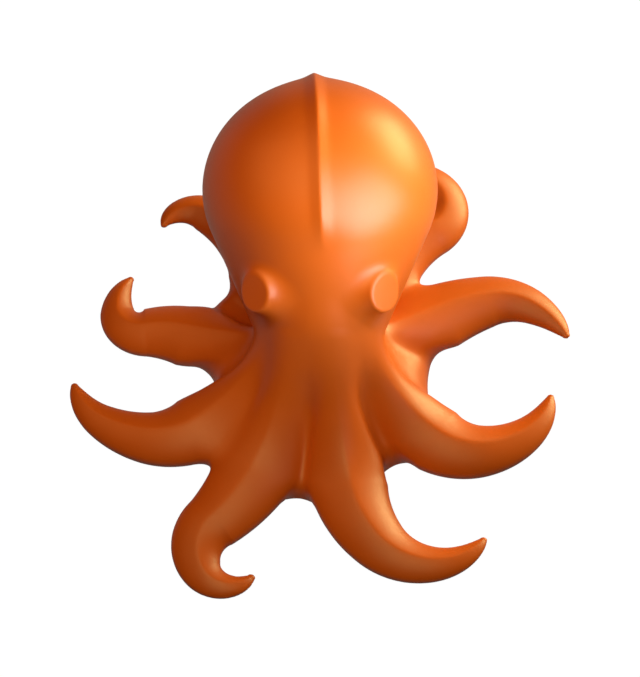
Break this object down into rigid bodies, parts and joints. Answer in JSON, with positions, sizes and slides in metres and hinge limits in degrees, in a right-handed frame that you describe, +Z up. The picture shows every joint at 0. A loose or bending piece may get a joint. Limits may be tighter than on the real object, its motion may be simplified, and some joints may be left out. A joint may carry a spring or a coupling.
{
  "type": "posable octopus figure",
  "caption": "Moulded octopus figure with a round head on a leaning neck, stalked eyes and tapering arms that lift and curl on an inner hinged armature.",
  "frame": {"origin": "on the floor, in the middle of the base plate's underside", "axes": "+Z up out of the floor, +Y behind the figure, +X to the right of the front view"},
  "size_m": [0.199, 0.1981, 0.1142],
  "materials": {
    "skin": "satin orange moulded soft skin with a fine grain",
    "plate": "matt moulded base plate",
    "armature": "natural off-white moulded armature",
    "steel": "drawn wire pins and plated screws"
  },
  "bodies": {
    "body": {"head_skin": "skin", "crown_skin": "skin", "armature_hub": "armature", "lift_pins": "steel", "base_plate": "plate", "base_screws": "steel"},
    "arm_1": {"arm_1_base_skin": "skin", "arm_1_bend_skin": "skin", "arm_1_root_link": "armature", "arm_1_curl_pin": "steel"},
    "arm_1_tip": {"arm_1_tip_skin": "skin", "arm_1_tip_link": "armature"},
    "arm_2": {"arm_2_base_skin": "skin", "arm_2_bend_skin": "skin", "arm_2_root_link": "armature", "arm_2_curl_pin": "steel"},
    "arm_2_tip": {"arm_2_tip_skin": "skin", "arm_2_tip_link": "armature"},
    "arm_3": {"arm_3_base_skin": "skin", "arm_3_bend_skin": "skin", "arm_3_root_link": "armature", "arm_3_curl_pin": "steel"},
    "arm_3_tip": {"arm_3_tip_skin": "skin", "arm_3_tip_link": "armature"},
    "arm_4": {"arm_4_base_skin": "skin", "arm_4_bend_skin": "skin", "arm_4_root_link": "armature", "arm_4_curl_pin": "steel"},
    "arm_4_tip": {"arm_4_tip_skin": "skin", "arm_4_tip_link": "armature"},
    "arm_5": {"arm_5_base_skin": "skin", "arm_5_bend_skin": "skin", "arm_5_root_link": "armature", "arm_5_curl_pin": "steel"},
    "arm_5_tip": {"arm_5_tip_skin": "skin", "arm_5_tip_link": "armature"},
    "arm_6": {"arm_6_base_skin": "skin", "arm_6_bend_skin": "skin", "arm_6_root_link": "armature", "arm_6_curl_pin": "steel"},
    "arm_6_tip": {"arm_6_tip_skin": "skin", "arm_6_tip_link": "armature"},
    "arm_7": {"arm_7_base_skin": "skin", "arm_7_bend_skin": "skin", "arm_7_root_link": "armature", "arm_7_curl_pin": "steel"},
    "arm_7_tip": {"arm_7_tip_skin": "skin", "arm_7_tip_link": "armature"},
    "arm_8": {"arm_8_base_skin": "skin", "arm_8_bend_skin": "skin", "arm_8_root_link": "armature", "arm_8_curl_pin": "steel"},
    "arm_8_tip": {"arm_8_tip_skin": "skin", "arm_8_tip_link": "armature"}
  },
  "joints": [
    {"name": "lift_1", "type": "hinge", "parent": "body", "child": "arm_1", "pos_m": [0.02424, 0.04373, 0.006], "axis": [0.8746, -0.4848, 0], "range_deg": [-15, 4], "deforming": ["crown_skin"]},
    {"name": "curl_1", "type": "hinge", "parent": "arm_1", "child": "arm_1_tip", "pos_m": [0.04776, 0.0694, 0.006], "axis": [0, 0, 1], "range_deg": [-25, 15], "deforming": ["arm_1_bend_skin"]},
    {"name": "lift_2", "type": "hinge", "parent": "body", "child": "arm_2", "pos_m": [0.04373, 0.02424, 0.006], "axis": [0.4848, -0.8746, 0], "range_deg": [-15, 35], "deforming": ["crown_skin"]},
    {"name": "curl_2", "type": "hinge", "parent": "arm_2", "child": "arm_2_tip", "pos_m": [0.06977, 0.0353, 0.006], "axis": [0, 0, 1], "range_deg": [-25, 25], "deforming": ["arm_2_bend_skin"]},
    {"name": "lift_3", "type": "hinge", "parent": "body", "child": "arm_3", "pos_m": [0.04193, -0.02723, 0.006], "axis": [-0.5446, -0.8387, 0], "range_deg": [-15, 35], "deforming": ["crown_skin"]},
    {"name": "curl_3", "type": "hinge", "parent": "arm_3", "child": "arm_3_tip", "pos_m": [0.06844, -0.03387, 0.006], "axis": [0, 0, 1], "range_deg": [-25, 25], "deforming": ["arm_3_bend_skin"]},
    {"name": "lift_4", "type": "hinge", "parent": "body", "child": "arm_4", "pos_m": [0.01125, -0.04872, 0.006], "axis": [-0.9744, -0.225, 0], "range_deg": [-15, 35], "deforming": ["crown_skin"]},
    {"name": "curl_4", "type": "hinge", "parent": "arm_4", "child": "arm_4_tip", "pos_m": [0.02536, -0.07873, 0.006], "axis": [0, 0, 1], "range_deg": [-25, 25], "deforming": ["arm_4_bend_skin"]},
    {"name": "lift_5", "type": "hinge", "parent": "body", "child": "arm_5", "pos_m": [-0.02462, -0.04352, 0.006], "axis": [-0.8704, 0.4924, 0], "range_deg": [-15, 35], "deforming": ["crown_skin"]},
    {"name": "curl_5", "type": "hinge", "parent": "arm_5", "child": "arm_5_tip", "pos_m": [-0.04443, -0.06966, 0.006], "axis": [0, 0, 1], "range_deg": [-25, 25], "deforming": ["arm_5_bend_skin"]},
    {"name": "lift_6", "type": "hinge", "parent": "body", "child": "arm_6", "pos_m": [-0.04455, -0.0227, 0.006], "axis": [-0.454, 0.891, 0], "range_deg": [-15, 35], "deforming": ["crown_skin"]},
    {"name": "curl_6", "type": "hinge", "parent": "arm_6", "child": "arm_6_tip", "pos_m": [-0.07199, -0.02722, 0.006], "axis": [0, 0, 1], "range_deg": [-25, 25], "deforming": ["arm_6_bend_skin"]},
    {"name": "lift_7", "type": "hinge", "parent": "body", "child": "arm_7", "pos_m": [-0.04742, 0.01587, 0.006], "axis": [0.3173, 0.9483, 0], "range_deg": [-15, 35], "deforming": ["crown_skin"]},
    {"name": "curl_7", "type": "hinge", "parent": "arm_7", "child": "arm_7_tip", "pos_m": [-0.0724, 0.0213, 0.006], "axis": [0, 0, 1], "range_deg": [-25, 25], "deforming": ["arm_7_bend_skin"]},
    {"name": "lift_8", "type": "hinge", "parent": "body", "child": "arm_8", "pos_m": [-0.02113, 0.04532, 0.006], "axis": [0.9063, 0.4226, 0], "range_deg": [-15, 4], "deforming": ["crown_skin"]},
    {"name": "curl_8", "type": "hinge", "parent": "arm_8", "child": "arm_8_tip", "pos_m": [-0.0356, 0.06767, 0.006], "axis": [0, 0, 1], "range_deg": [-25, 25], "deforming": ["arm_8_bend_skin"]}
  ]
}
